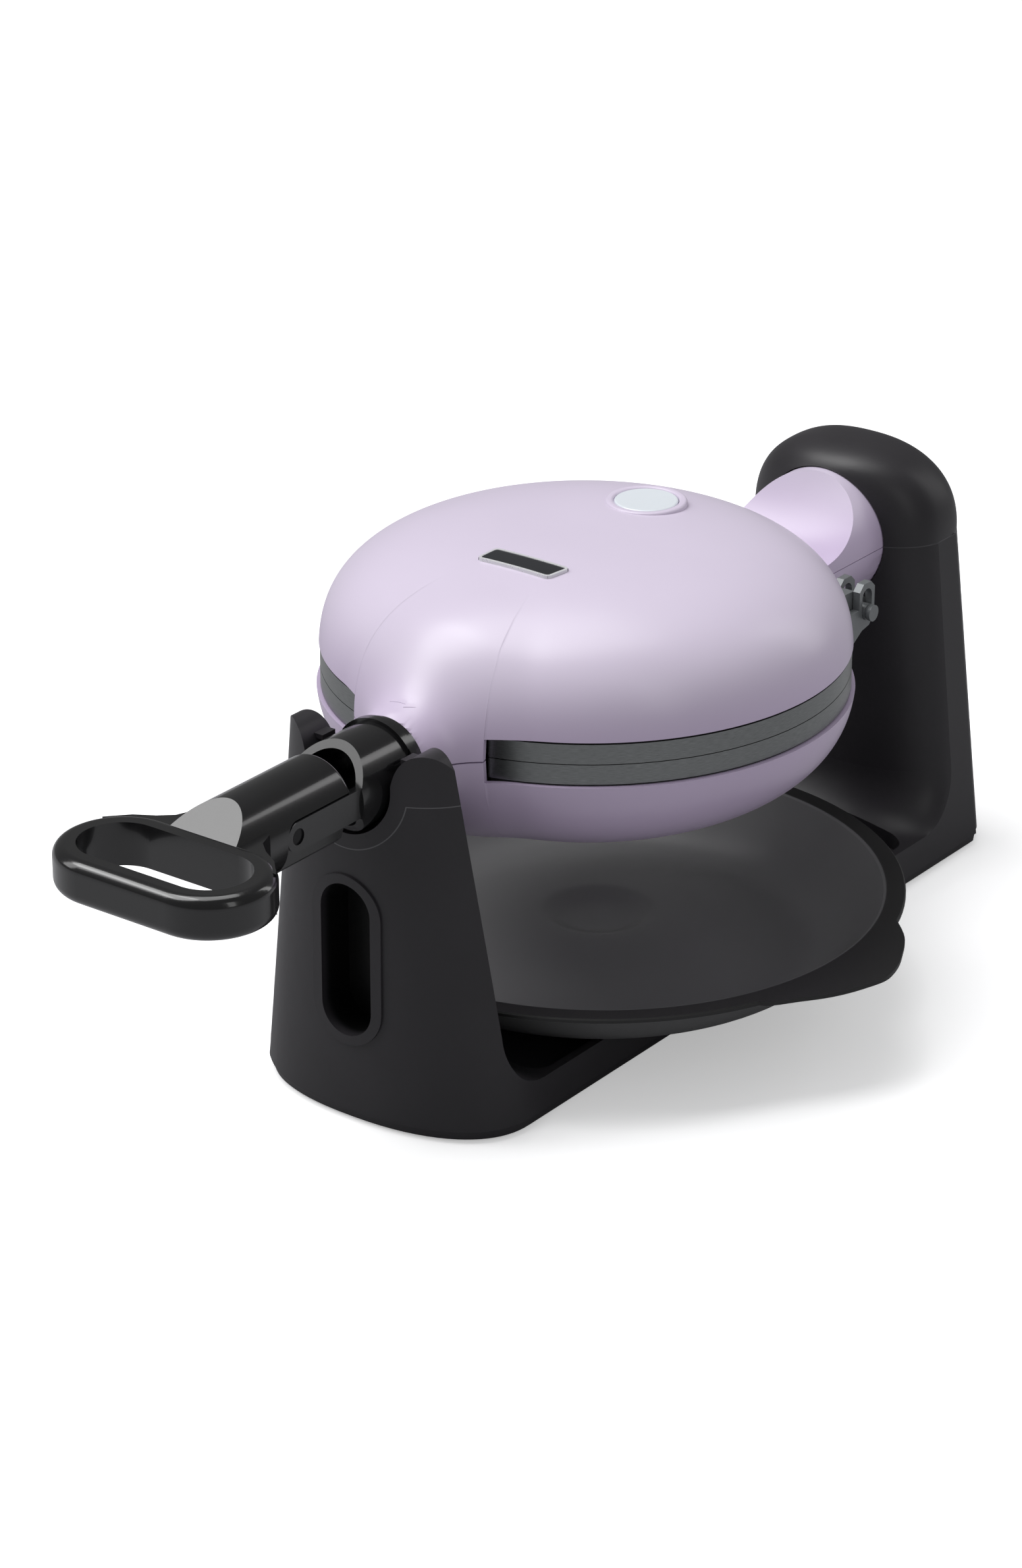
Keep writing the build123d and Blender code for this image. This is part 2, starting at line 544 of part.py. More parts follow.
def heater(up):
    """Sheathed heating ring with its two ends bent toward the rear."""
    z = AXIS_Z + up * (GRID_DEPTH + 3.2 + 3.3)
    torus = Solid.make_torus(58, 3.3, Plane(origin=(0, 0, z), z_dir=(0, 0, 1)))
    body = torus - block(-9, 9, 40, 75, z - 6, z + 6)
    for side in (-1, 1):
        body += rod(3.3, (side * 9.0, 56.4, z), (side * 9.0, 76, z))
    return body


save(heater(1), "upper_heater")
save(heater(-1), "lower_heater")
thermo_z = AXIS_Z - GRID_DEPTH - 3.2
thermostat = block(-12, 12, -12, 12, thermo_z - 9, thermo_z) + rod(5, (0, 0, thermo_z - 14), (0, 0, thermo_z - 9))
save(thermostat, "thermostat")
cutout_z = AXIS_Z + GRID_DEPTH + 3.2
save(block(-9, 9, -34, -16, cutout_z, cutout_z + 8), "thermal_cutout")
plate_screws = []
for up in (-1, 1):
    for a in (45, 135, 225, 315):
        x = 80 * cos(radians(a))
        y = 80 * sin(radians(a))
        z0 = AXIS_Z + up * (GRID_DEPTH + 3.2)
        plate_screws.append(rod(3.4, (x, y, z0), (x, y, z0 + up * 2.2)))
save(Compound(plate_screws[:4]), "lower_plate_screws")
save(Compound(plate_screws[4:]), "upper_plate_screws")

# Lamp, badge.
lens = rod(12.0, (*lamp_xy, lamp_z - 1.6), (*lamp_xy, lamp_z + 1.4))
lens = fillet(lens.edges().filter_by(GeomType.CIRCLE).sort_by(Axis.Z)[-1:], 0.8)
lens += ring(9.0, 12.0, lamp_z - 3.4, lamp_z - 1.6).moved(Pos(*lamp_xy, 0))
save(lens, "lamp_lens")
save(rod(4.2, (*lamp_xy, lamp_z - 12), (*lamp_xy, lamp_z - 2.4)), "lamp_bulb")
badge_pts = [(-16.0, -44.2), (-14.5, -35.2), (17.5, -35.2), (15.0, -44.2)]
badge = slab(badge_pts, AXIS_Z + 40, AXIS_Z + 60) & (dome(LID_R + 0.9, LID_H + 0.9, LID_POWERS) - lid_outer)
save(badge, "badge")

# Collar in two shells with the fork arms, and the pin that carries the handle.


def wedge_rim():
    """Keep-zone of the collar's front: top and bottom set back, sides forward."""
    lift = COLLAR_TOP_Y - COLLAR_SIDE_Y
    rise = COLLAR_R - ARM_HALF_H
    far = 30.0
    pts = [(COLLAR_REAR_Y, AXIS_Z - far), (COLLAR_REAR_Y, AXIS_Z + far),
           (COLLAR_SIDE_Y + lift * (far - ARM_HALF_H) / rise, AXIS_Z + far), (COLLAR_SIDE_Y, AXIS_Z + ARM_HALF_H),
           (COLLAR_SIDE_Y, AXIS_Z - ARM_HALF_H), (COLLAR_SIDE_Y + lift * (far - ARM_HALF_H) / rise, AXIS_Z - far)]
    return side_prism(pts, 40)


collar = bar_y(COLLAR_R, -160, COLLAR_REAR_Y) + bar_y(JOURNAL_R, *JOURNAL_Y)
collar &= wedge_rim()
collar -= bar_y(COLLAR_R - COLLAR_WALL, -160, -124)
swing_r = hypot(NECK_REAR_Y - PIVOT_Y, NECK_R) + 1.0
swing = rod(swing_r, (-ARM_IN_X, PIVOT_Y, PIVOT_Z), (ARM_IN_X, PIVOT_Y, PIVOT_Z))
collar -= swing
for side in (-1, 1):
    lo = min(side * ARM_IN_X, side * ARM_OUT_X)
    hi = max(side * ARM_IN_X, side * ARM_OUT_X)
    arm = block(lo, hi, PIVOT_Y, -134, PIVOT_Z - ARM_HALF_H, PIVOT_Z + ARM_HALF_H)
    arm += rod(ARM_HALF_H, (lo, PIVOT_Y, PIVOT_Z), (hi, PIVOT_Y, PIVOT_Z))
    collar += arm & bar_y(COLLAR_R, -200, -120)
    notch = block(min(side * 14.6, side * 20), max(side * 14.6, side * 20), -133.5, -124.5, lug_z - 1.9, lug_z + 1.9)
    collar -= notch
collar -= rod(PIVOT_R, (-20, PIVOT_Y, PIVOT_Z), (20, PIVOT_Y, PIVOT_Z))
stub = bar_y(NECK_FLARE[0][1] - SHELL, -124, -112) - bar_y(NECK_FLARE[0][1] - 2 * SHELL, -125, -111)
save((collar & top_half) + (stub & top_half), "collar_upper")
save(collar - top_half, "collar_lower")
save(rod(PIVOT_R, (-ARM_OUT_X + 0.6, PIVOT_Y, PIVOT_Z), (ARM_OUT_X - 0.6, PIVOT_Y, PIVOT_Z)), "handle_pin")


def stretched_loop(radius, half_h):
    body = slab([(-LOOP_HALF_X, LOOP_Y - radius), (LOOP_HALF_X, LOOP_Y - radius), (LOOP_HALF_X, LOOP_Y + radius),
                 (-LOOP_HALF_X, LOOP_Y + radius)], AXIS_Z - half_h, AXIS_Z + half_h)
    for side in (-1, 1):
        x = side * LOOP_HALF_X
        body += rod(radius, (x, LOOP_Y, AXIS_Z - half_h), (x, LOOP_Y, AXIS_Z + half_h))
    return body


loop = stretched_loop(LOOP_R, LOOP_HALF_H)
loop = fillet(loop.edges().filter_by(Plane.XY), 4.2)
hole = stretched_loop(LOOP_HOLE_R, LOOP_HALF_H + 3)
# Flat gusset between the round neck and the loop, with hollow sides.
throat = [(-38.0, LOOP_Y + 12), (38.0, LOOP_Y + 12), (31.0, LOOP_Y + 19.5), (24.0, LOOP_Y + 23.6),
          (19.0, LOOP_Y + 28.0), (16.4, LOOP_Y + 35), (-16.4, LOOP_Y + 35), (-19.0, LOOP_Y + 28.0),
          (-24.0, LOOP_Y + 23.6), (-31.0, LOOP_Y + 19.5)]
gusset = slab(throat, AXIS_Z - LOOP_HALF_H + 0.6, AXIS_Z + LOOP_HALF_H - 0.6)
neck = bar_y(NECK_R, LOOP_Y + 16, NECK_REAR_Y)
facet = [(-199.5, AXIS_Z + 20), (-203.0, AXIS_Z + NECK_R), (-217.5, AXIS_Z + LOOP_HALF_H - 0.3),
         (-240, AXIS_Z + LOOP_HALF_H - 0.3), (-240, AXIS_Z + 20)]
neck -= side_prism(facet, 30)
neck -= side_prism([(y, 2 * AXIS_Z - z) for y, z in facet], 30)
neck = fillet(neck.edges().filter_by(GeomType.CIRCLE).sort_by(Axis.Y)[-1:], 1.6)
core_r = ARM_IN_X - SIDE_GAP
slot_z = ARM_HALF_H + SIDE_GAP
low_side = side_prism([(NECK_FULL_Y + slot_z, PIVOT_Z + slot_z), (NECK_REAR_Y + 4, PIVOT_Z + slot_z),
                       (NECK_REAR_Y + 4, AXIS_Z - 30), (NECK_FULL_Y, AXIS_Z - 30), (NECK_FULL_Y, PIVOT_Z)], 40)
low_side += rod(slot_z, (-40, PIVOT_Y, PIVOT_Z), (40, PIVOT_Y, PIVOT_Z))
side_cut = (low_side - block(-core_r, core_r, -230, -140, 60, 200))
neck -= side_cut
neck -= side_prism([(NECK_REAR_Y + 1, AXIS_Z - 2), (NECK_REAR_Y - 6, AXIS_Z - 20), (NECK_REAR_Y + 1, AXIS_Z - 20)], 30)
handle = (loop + gusset + neck) - hole
handle -= rod(PIVOT_R + RUNNING, (-30, PIVOT_Y, PIVOT_Z), (30, PIVOT_Y, PIVOT_Z))
save(handle & block(-80, 80, -300, -100, AXIS_Z, AXIS_Z + 60), "handle_upper")
save(handle - block(-80, 80, -300, -100, AXIS_Z, AXIS_Z + 60), "handle_lower")

# Tray.
pts = [(x, 0, z - TRAY_T) for x, z in TRAY_PROFILE]
top = [(x, 0, z) for x, z in TRAY_PROFILE]
lip = [(TRAY_LIP_R, 0, TRAY_LIP_Z), (TRAY_R - 0.5, 0, TRAY_LIP_Z), (TRAY_R, 0, TRAY_LIP_Z - 0.5),
       (TRAY_R, 0, TRAY_LIP_Z - 1.6), (TRAY_LIP_R + 1.2, 0, TRAY_LIP_Z - 1.8)]
edges = [Line(pts[0], top[0]), Spline(*top), Line(top[-1], lip[0])]
edges += [Line(lip[i], lip[i + 1]) for i in range(len(lip) - 1)]
edges += [Line(lip[-1], pts[-1]), Spline(*reversed(pts))]
tray = revolve(make_face(edges), Axis.Z)
tip = TAB_X - TRAY_X
tab = [(100.0, -48.0), (108.0, -46.0), (114.0, -38.5), (120.4, -30.0), (126.4, -19.0), (tip - 1.4, -10.0),
       (tip, -4.0), (tip - 0.6, 2.0), (tip - 2.8, 9.5), (124.5, 17.5), (119.6, 26.5), (113.5, 33.5), (107.0, 39.0),
       (100.0, 42.0)]
tab_z = TRAY_LIP_Z - 1.6
tab_face = make_face([Spline(*[(x, y, tab_z) for x, y in tab]), Line((100, 42, tab_z), (100, -48, tab_z))])
tray += extrude(tab_face, 1.6, dir=(0, 0, 1)) - rod(TRAY_LIP_R + 1.2, (0, 0, 20), (0, 0, 60))
low = min(z for x, z in TRAY_PROFILE) - TRAY_T
tray = tray.moved(Pos(TRAY_X, TRAY_Y, RAIL_Z + TRAY_REST - low))
save(tray, "tray")
print("shift", SHIFT.position)
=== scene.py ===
import json
import math

import bmesh
import bpy
import numpy as np
from mathutils import Matrix, Vector


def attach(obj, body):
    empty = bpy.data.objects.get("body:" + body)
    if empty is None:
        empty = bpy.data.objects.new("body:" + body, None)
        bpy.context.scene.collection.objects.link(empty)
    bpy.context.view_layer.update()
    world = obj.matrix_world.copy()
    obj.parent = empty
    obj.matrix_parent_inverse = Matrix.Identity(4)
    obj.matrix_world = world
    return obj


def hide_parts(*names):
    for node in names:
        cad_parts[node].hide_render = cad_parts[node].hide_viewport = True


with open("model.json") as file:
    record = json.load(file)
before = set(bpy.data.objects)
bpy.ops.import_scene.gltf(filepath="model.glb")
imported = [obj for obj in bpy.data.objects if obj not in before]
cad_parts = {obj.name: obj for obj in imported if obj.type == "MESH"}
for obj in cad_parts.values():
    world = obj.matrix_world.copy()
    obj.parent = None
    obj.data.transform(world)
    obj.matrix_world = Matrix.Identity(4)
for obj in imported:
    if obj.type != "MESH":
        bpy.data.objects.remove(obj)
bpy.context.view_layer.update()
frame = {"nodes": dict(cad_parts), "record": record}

# Sizes, metres. The cooker's centre stands over (CENTRE_X, CENTRE_Y), and the flip axis runs along Y at AXIS_Z.
CENTRE_X = -0.0125
CENTRE_Y = 0.02385
AXIS_Z = 0.132
SEAM_HALF = 0.0003
SHELL = 0.0024
BAND_H = 0.0084
LID_R, LID_H, LID_POWERS = 0.0985, 0.0505, (3.0, 2.9)
BOWL_R, BOWL_H, BOWL_POWERS = 0.0998, 0.0520, (2.6, 2.6)
NECK_FRONT_Y = -0.1183
BARREL_R = 0.0272
BARREL_END_Y = 0.1655
BARREL_FROM_Y = 0.03
# Angles round the cooker, from +X towards +Y: the neck's own, and where the metal band stops beside the neck.
NECK_TURN = -math.pi / 2
BAND_GAP_LEFT = math.radians(19.6)
BAND_GAP_RIGHT = math.radians(15.6)
# The neck's outline: its radius at each Y from the cooker's centre. Below zero there is no neck any more.
NECK_Y = np.array([-0.1183, -0.1130, -0.1080, -0.1030, -0.0980, -0.0920, -0.0840, -0.0780, -0.0700,
                   -0.0600, -0.0480, -0.0300, -0.0100, 0.0100])
NECK_R = np.array([0.0169, 0.0175, 0.0193, 0.0226, 0.0274, 0.0338, 0.0396, 0.0418, 0.0430,
                   0.0426, 0.0400, 0.0300, 0.0100, -0.0100])
# The same outline as a fine table, its kinks rounded over SOFTEN_BY.
SOFTEN_BY = 0.0030
SOFTEN_STEPS = 45
FINE_Y = np.linspace(NECK_Y[0], NECK_Y[-1], 600)
soften = np.arange(-SOFTEN_STEPS, SOFTEN_STEPS + 1) * (FINE_Y[1] - FINE_Y[0]) / SOFTEN_BY
soften = np.exp(-0.5 * soften ** 2)
soften /= soften.sum()
FINE_R = np.convolve(np.pad(np.interp(FINE_Y, NECK_Y, NECK_R), SOFTEN_STEPS, mode="edge"), soften, mode="valid")
# How softly the fields of dome, neck and barrel run into each other, and the dome's field in metres.
LID_BLEND = 0.0085
BOWL_BLEND = 0.006
BARREL_BLEND = 0.004
BODY_FIELD = 0.075
HALVINGS = 40
FAR = 9.0
# The front post: its face, the ring of the cradle, the level seam of the ears and the window's pocket.
FRONT_Y = -0.1426 + CENTRE_Y
RING_R = 0.0243
EAR_SEAM_Z = AXIS_Z - 0.004
WINDOW_HALF = 0.0114
WINDOW_LOW = 0.0340
WINDOW_HIGH = 0.0945
# Half width of a drawn parting line, whose light grey is a painted highlight.
JOINT_LINE_HALF = 0.0002
# The tray's middle from the cooker's centre, and the radius where its dish meets the flat rim.
TRAY_X = 0.0048
TRAY_Y = 0.0025
TRAY_LIP_R = 0.1078


# Node helpers.


class Val:
    """A node output that can be used in plain arithmetic."""

    def __init__(self, tree, socket):
        self.tree = tree
        self.socket = socket

    def calc(self, op, *others):
        node = self.tree.nodes.new("ShaderNodeMath")
        node.operation = op
        for i, item in enumerate((self,) + others):
            if isinstance(item, Val):
                self.tree.links.new(item.socket, node.inputs[i])
            else:
                node.inputs[i].default_value = item
        return Val(self.tree, node.outputs[0])

    def __add__(self, other):
        return self.calc("ADD", other)

    def __sub__(self, other):
        return self.calc("SUBTRACT", other)

    def __mul__(self, other):
        return self.calc("MULTIPLY", other)

    def fade(self, low, high):
        """0 below low, 1 above high, smooth between."""
        node = self.tree.nodes.new("ShaderNodeMapRange")
        node.interpolation_type = "SMOOTHSTEP"
        self.tree.links.new(self.socket, node.inputs["Value"])
        node.inputs["From Min"].default_value = low
        node.inputs["From Max"].default_value = high
        return Val(self.tree, node.outputs["Result"])


class Finish:
    """One material: a Principled surface and the nodes that vary it."""

    def __init__(self, name, colour, rough, **fixed):
        self.mat = bpy.data.materials.new(name)
        self.mat.use_nodes = True
        self.tree = self.mat.node_tree
        self.skin = self.tree.nodes["Principled BSDF"]
        self.skin.inputs["Base Color"].default_value = (*colour, 1)
        self.skin.inputs["Roughness"].default_value = rough
        for key, value in fixed.items():
            self.skin.inputs[key.replace("_", " ")].default_value = value

    def node(self, kind, out, inputs=None, **settings):
        """Any node: settings are its own switches, inputs are values or other outputs."""
        item = self.tree.nodes.new(kind)
        for key, value in settings.items():
            setattr(item, key, value)
        for key, value in (inputs or {}).items():
            if isinstance(value, Val):
                self.tree.links.new(value.socket, item.inputs[key])
            else:
                item.inputs[key].default_value = value
        return Val(self.tree, item.outputs[out])

    def place(self):
        return self.node("ShaderNodeTexCoord", "Object")

    def noise(self, scale, detail=2.0, where=None, rough=0.5):
        return self.node("ShaderNodeTexNoise", "Fac", {"Vector": where or self.place(), "Scale": scale,
                                                        "Detail": detail, "Roughness": rough})

    def part(self, where, axis):
        return self.node("ShaderNodeSeparateXYZ", axis, {"Vector": where})

    def blend(self, a, b, amount):
        """Colour a to colour b by amount."""
        item = self.tree.nodes.new("ShaderNodeMix")
        item.data_type = "RGBA"
        for slot, value in ((6, a), (7, b)):
            if isinstance(value, Val):
                self.tree.links.new(value.socket, item.inputs[slot])
            else:
                item.inputs[slot].default_value = (*value, 1)
        self.tree.links.new(amount.socket, item.inputs[0])
        return Val(self.tree, item.outputs[2])

    def feed(self, name, value):
        self.tree.links.new(value.socket, self.skin.inputs[name])

    def bump(self, height, strength, distance):
        self.feed("Normal", self.node("ShaderNodeBump", "Normal",
                                      {"Height": height, "Strength": strength, "Distance": distance}))


def moulded(name, colour, rough, grain=900.0, depth=0.00002, mottle=0.12, **fixed):
    """Moulded plastic: a very fine sandy grain, slow drifts of tone and of sheen."""
    f = Finish(name, colour, rough, **fixed)
    fine = f.noise(grain, 3.0)
    slow = f.noise(22.0, 3.0)
    light = tuple(min(1.0, c * (1 + mottle)) for c in colour)
    dark = tuple(c * (1 - mottle) for c in colour)
    f.feed("Base Color", f.blend(dark, light, slow.fade(0.3, 0.7) * 0.6 + fine * 0.4))
    f.feed("Roughness", slow * 0.06 + fine * 0.05 + (rough - 0.055))
    f.bump(fine, 0.25, depth)
    return f


def brushed(name, colour, rough, metallic=1.0):
    """Metal brushed round the cooker: streaks long across the turn and thin in height."""
    f = Finish(name, colour, rough, Metallic=metallic)
    where = f.place()
    x = f.part(where, "X") - CENTRE_X
    y = f.part(where, "Y") - CENTRE_Y
    z = f.part(where, "Z")
    turn = y.calc("ARCTAN2", x)
    line = f.node("ShaderNodeCombineXYZ", "Vector", {"X": turn * 30.0, "Y": z * 9000.0, "Z": 0.0})
    streak = f.node("ShaderNodeTexNoise", "Fac", {"Vector": line, "Scale": 1.0, "Detail": 4.0})
    dark = tuple(c * 0.78 for c in colour)
    light = tuple(min(1.0, c * 1.16) for c in colour)
    f.feed("Base Color", f.blend(dark, light, streak.fade(0.3, 0.7)))
    f.feed("Roughness", streak * 0.16 + (rough - 0.08))
    f.bump(streak, 0.12, 0.00003)
    return f


lilac = moulded("lilac_satin", (0.60, 0.535, 0.655), 0.36, 1300.0, 0.000006, 0.012,
                Coat_Weight=0.25, Coat_Roughness=0.3)
# Painted shade: the lilac turns deeper and more saturated towards the seam and below it, standing in for the
# coloured bounce light in the shaded lower parts.
painted_bounce_shade = lilac.part(lilac.place(), "Z").fade(AXIS_Z + 0.004, AXIS_Z + 0.032) * -1.0 + 1.0
plain_lilac = Val(lilac.tree, lilac.skin.inputs["Base Color"].links[0].from_socket)
lilac.feed("Base Color", lilac.blend(plain_lilac, (0.515, 0.42, 0.59), painted_bounce_shade * 0.85))
charcoal = moulded("charcoal_plastic", (0.021, 0.0195, 0.0225), 0.42, 1500.0, 0.00003, 0.16,
                   Specular_IOR_Level=0.4)


def joint_highlights_and_pocket_shade(f):
    """Thin grey lines where the rear cap, the front cradle and its ring meet the housing, their light grey a
    painted highlight along the joints, and painted shade darkening the window's pocket.
    """
    where = f.place()
    x = f.part(where, "X") - CENTRE_X
    y = f.part(where, "Y")
    z = f.part(where, "Z")
    up = z - AXIS_Z
    reach = (x * x + up * up).calc("SQRT")

    def near(value, target, width=JOINT_LINE_HALF):
        return (value - target).calc("ABSOLUTE").fade(width * 0.5, width * 1.6) * -1.0 + 1.0

    behind = y.fade(0.16, 0.161)
    front = y.fade(-0.08, -0.079) * -1.0 + 1.0
    cap = near(z, AXIS_Z) * behind
    outside = reach.fade(RING_R - 0.0003, RING_R)
    level = near(z, EAR_SEAM_Z) * outside * front
    low = z.fade(EAR_SEAM_Z - 0.0002, EAR_SEAM_Z + 0.0001) * -1.0 + 1.0
    arc = near(reach, RING_R) * low * front
    # Painted highlight: the real parting lines are drawn light grey, standing in for the light caught along each
    # joint's lip.
    joint_highlight = (cap * 0.6 + level + arc).calc("MINIMUM", 1.0)
    base = f.skin.inputs["Base Color"].links[0].from_socket
    with_joint_highlight = f.blend(Val(f.tree, base), (0.11, 0.11, 0.115), joint_highlight * 0.8)
    # Painted shade: the window's pocket is darker inside, away from the light.
    inward = y.fade(FRONT_Y + 0.0006, FRONT_Y + 0.0050)
    slot = x.calc("ABSOLUTE").fade(WINDOW_HALF - 0.0003, WINDOW_HALF) * -1.0 + 1.0
    below_top = z.fade(WINDOW_HIGH - 0.0006, WINDOW_HIGH) * -1.0 + 1.0
    tall = z.fade(WINDOW_LOW, WINDOW_LOW + 0.0006) * below_top
    pocket_shade = inward * slot * tall * front
    f.feed("Base Color", f.blend(with_joint_highlight, (0.0015, 0.0015, 0.0017), pocket_shade))


joint_highlights_and_pocket_shade(charcoal)
gloss = moulded("gloss_black", (0.0055, 0.0055, 0.006), 0.2, 700.0, 0.000004, 0.2,
                Coat_Weight=0.6, Coat_Roughness=0.08)
rubber = moulded("foot_rubber", (0.012, 0.012, 0.012), 0.75, 700.0, 0.00008, 0.2)
band = brushed("band_brushed", (0.235, 0.245, 0.245), 0.36)
hinge_grey = moulded("hinge_grey", (0.17, 0.18, 0.185), 0.38, 900.0, 0.00002, 0.1, Metallic=0.35)
steel = brushed("plated_steel", (0.52, 0.52, 0.51), 0.3)
brass = brushed("plain_brass", (0.60, 0.45, 0.20), 0.34)
nonstick = moulded("nonstick_cast", (0.02, 0.02, 0.021), 0.42, 1200.0, 0.00006, 0.2)
lens = moulded("lamp_white", (0.66, 0.70, 0.74), 0.3, 500.0, 0.000005, 0.03, Coat_Weight=0.4)
badge_dark = moulded("badge_dark", (0.02, 0.021, 0.024), 0.25, 900.0, 0.00001, 0.1)


def tray_finish():
    """Dark satin tray: greyer and smoother inside the dish, blacker and finer on the flat rim; the dish's grey is
    partly its own tone and partly painted light, lifted to make up for the light the bowl keeps off it.
    """
    f = Finish("tray_satin", (0.03, 0.03, 0.031), 0.4)
    where = f.place()
    x = f.part(where, "X") - (CENTRE_X + TRAY_X)
    y = f.part(where, "Y") - (CENTRE_Y + TRAY_Y)
    out = (x * x + y * y).calc("SQRT")
    rim = out.fade(TRAY_LIP_R, TRAY_LIP_R + 0.0008)
    fine = f.noise(1300.0, 3.0)
    slow = f.noise(14.0, 2.0)
    # Partly painted light: the dish grey is lifted above its own tone to stand in for the light the bowl above
    # keeps from it.
    dish = f.blend((0.105, 0.105, 0.107), (0.125, 0.125, 0.127), slow * 0.7 + fine * 0.3)
    f.feed("Base Color", f.blend(dish, (0.010, 0.010, 0.010), rim))
    f.feed("Roughness", slow * 0.05 + fine * 0.05 + rim * 0.06 + 0.38)
    f.bump(fine, 0.25, 0.00003)
    return f


tray = tray_finish()


# Shells of the cooker.


def shell_radius(directions, up):
    """Distance from the cooker's centre to its skin along each direction.

    The skin is a squared-off dome run smoothly into a flared neck at the front and, below the seam, into the
    round barrel behind. Each is a field that is zero on its own surface. The smooth lowest of them is solved
    by halving the distance again and again, and the flat ends of neck and barrel cap it."""
    radius, height, powers = (LID_R, LID_H, LID_POWERS) if up else (BOWL_R, BOWL_H, BOWL_POWERS)

    def field(points):
        x, y, z = points[..., 0], points[..., 1], points[..., 2]
        flat = np.hypot(x, y)
        body = ((flat / radius) ** powers[0] + (np.abs(z) / height) ** powers[1]) ** (1 / powers[0]) - 1
        body = body * BODY_FIELD
        neck = np.hypot(x, z) - np.interp(y, FINE_Y, FINE_R)
        k = LID_BLEND if up else BOWL_BLEND
        h = np.clip(0.5 + 0.5 * (body - neck) / k, 0, 1)
        both = body * (1 - h) + neck * h - k * h * (1 - h)
        if up:
            return both
        tube = np.where(y > BARREL_FROM_Y, np.hypot(x, z) - BARREL_R, 0.05)
        k = BARREL_BLEND
        h = np.clip(0.5 + 0.5 * (both - tube) / k, 0, 1)
        return both * (1 - h) + tube * h - k * h * (1 - h)

    low = np.full(directions.shape[:-1], 0.01)
    high = np.full(directions.shape[:-1], 0.30)
    for _ in range(HALVINGS):
        mid = (low + high) / 2
        outside = field(directions * mid[..., None]) > 0
        high = np.where(outside, mid, high)
        low = np.where(outside, low, mid)
    dist = (low + high) / 2
    along = directions[..., 1]
    dist = np.minimum(dist, np.where(along < -1e-6, NECK_FRONT_Y / np.minimum(along, -1e-6), FAR))
    if not up:
        dist = np.minimum(dist, np.where(along > 1e-6, BARREL_END_Y / np.maximum(along, 1e-6), FAR))
    return dist


def mesh_object(name, points, faces, smooth_angle=35.0):
    mesh = bpy.data.meshes.new(name)
    mesh.from_pydata([tuple(p) for p in points], [], [tuple(int(i) for i in f) for f in faces])
    mesh.update()
    mesh.shade_smooth()
    mesh.set_sharp_from_angle(angle=math.radians(smooth_angle))
    obj = bpy.data.objects.new(name, mesh)
    bpy.context.scene.collection.objects.link(obj)
    return obj


def turns_for():
    """Angles round the cooker, smoothly closer together at the neck and at the barrel, with a close pair of
    angles at each end of the metal band."""
    count, crowding, clear, pair = 320, 0.38, 0.002, 0.0004
    even = np.linspace(0, 2 * math.pi, count, endpoint=False)
    turn = list(NECK_TURN + even - crowding * np.sin(2 * even))
    for edge in (NECK_TURN - BAND_GAP_LEFT + 2 * math.pi, NECK_TURN + BAND_GAP_RIGHT):
        turn = [a for a in turn if abs(a - edge) > clear] + [edge - pair, edge + pair]
    return np.array(sorted(turn))


def cooker_shell(name, up):
    """One half of the cooker as a closed skin.

    Rays leave the cooker's centre at each turn angle. Along one turn they rise from the height where the shell
    stops (just off the seam at the neck and barrel, clear of the metal band elsewhere) to straight up or down,
    so the rows close at the pole. The inner skin is the outer one drawn in by the wall, and the two are joined
    along the edge next to the seam."""
    turn = turns_for()
    rows, row_power = 110, 1.25
    sign = 1.0 if up else -1.0
    in_gap = (turn > NECK_TURN - BAND_GAP_LEFT + 2 * math.pi) | (turn < NECK_TURN + BAND_GAP_RIGHT)
    if not up:
        in_gap |= np.abs(turn - math.pi / 2) < math.asin(BARREL_R / BOWL_R)
    stop = np.where(in_gap, SEAM_HALF, BAND_H)
    low = np.full(turn.shape, 1e-4)
    high = np.full(turn.shape, 1.2)
    for _ in range(HALVINGS):
        mid = (low + high) / 2
        d = np.stack([np.cos(turn) * np.cos(mid), np.sin(turn) * np.cos(mid), sign * np.sin(mid)], -1)
        above = shell_radius(d, up) * np.sin(mid) > stop
        high = np.where(above, mid, high)
        low = np.where(above, low, mid)
    start = (low + high) / 2
    step = np.linspace(0, 1, rows)[:-1] ** row_power
    lift = start[None, :] + (math.pi / 2 - start[None, :]) * step[:, None]
    d = np.stack([np.cos(turn) * np.cos(lift), np.sin(turn) * np.cos(lift), sign * np.sin(lift)], -1)
    reach = shell_radius(d, up)
    outer = d * reach[..., None]
    inner = d * (reach - SHELL)[..., None]
    inner[0, :, 2] = outer[0, :, 2]
    top = (LID_H if up else BOWL_H) * sign
    n = len(turn)
    count = outer.shape[0] * n
    poles = [[0, 0, top], [0, 0, top - SHELL * sign]]
    points = np.concatenate([outer.reshape(-1, 3), inner.reshape(-1, 3), poles])
    points += np.array([CENTRE_X, CENTRE_Y, AXIS_Z])
    faces = []
    last = (outer.shape[0] - 1) * n
    for j in range(n):
        k = (j + 1) % n
        for i in range(outer.shape[0] - 1):
            a, b, c, e = i * n + j, i * n + k, (i + 1) * n + k, (i + 1) * n + j
            faces.append((a, b, c, e))
            faces.append((count + e, count + c, count + b, count + a))
        faces.append((last + j, last + k, 2 * count))
        faces.append((2 * count + 1, count + last + k, count + last + j))
        faces.append((k, j, count + j, count + k))
    if not up:
        faces = [f[::-1] for f in faces]
    return mesh_object(name, points, faces, 40.0)


def lay(obj, finish):
    """Give the piece one material and no other."""
    obj.data.materials.clear()
    obj.data.materials.append(finish.mat)


for skin_name, is_up, node_name, body_name in (("lid_skin", True, "lid_shell", "lid"),
                                               ("bowl_skin", False, "bowl_shell", "rotor")):
    shell_skin = cooker_shell(skin_name, is_up)
    lay(shell_skin, lilac)
    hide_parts(node_name)
    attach(shell_skin, body_name)


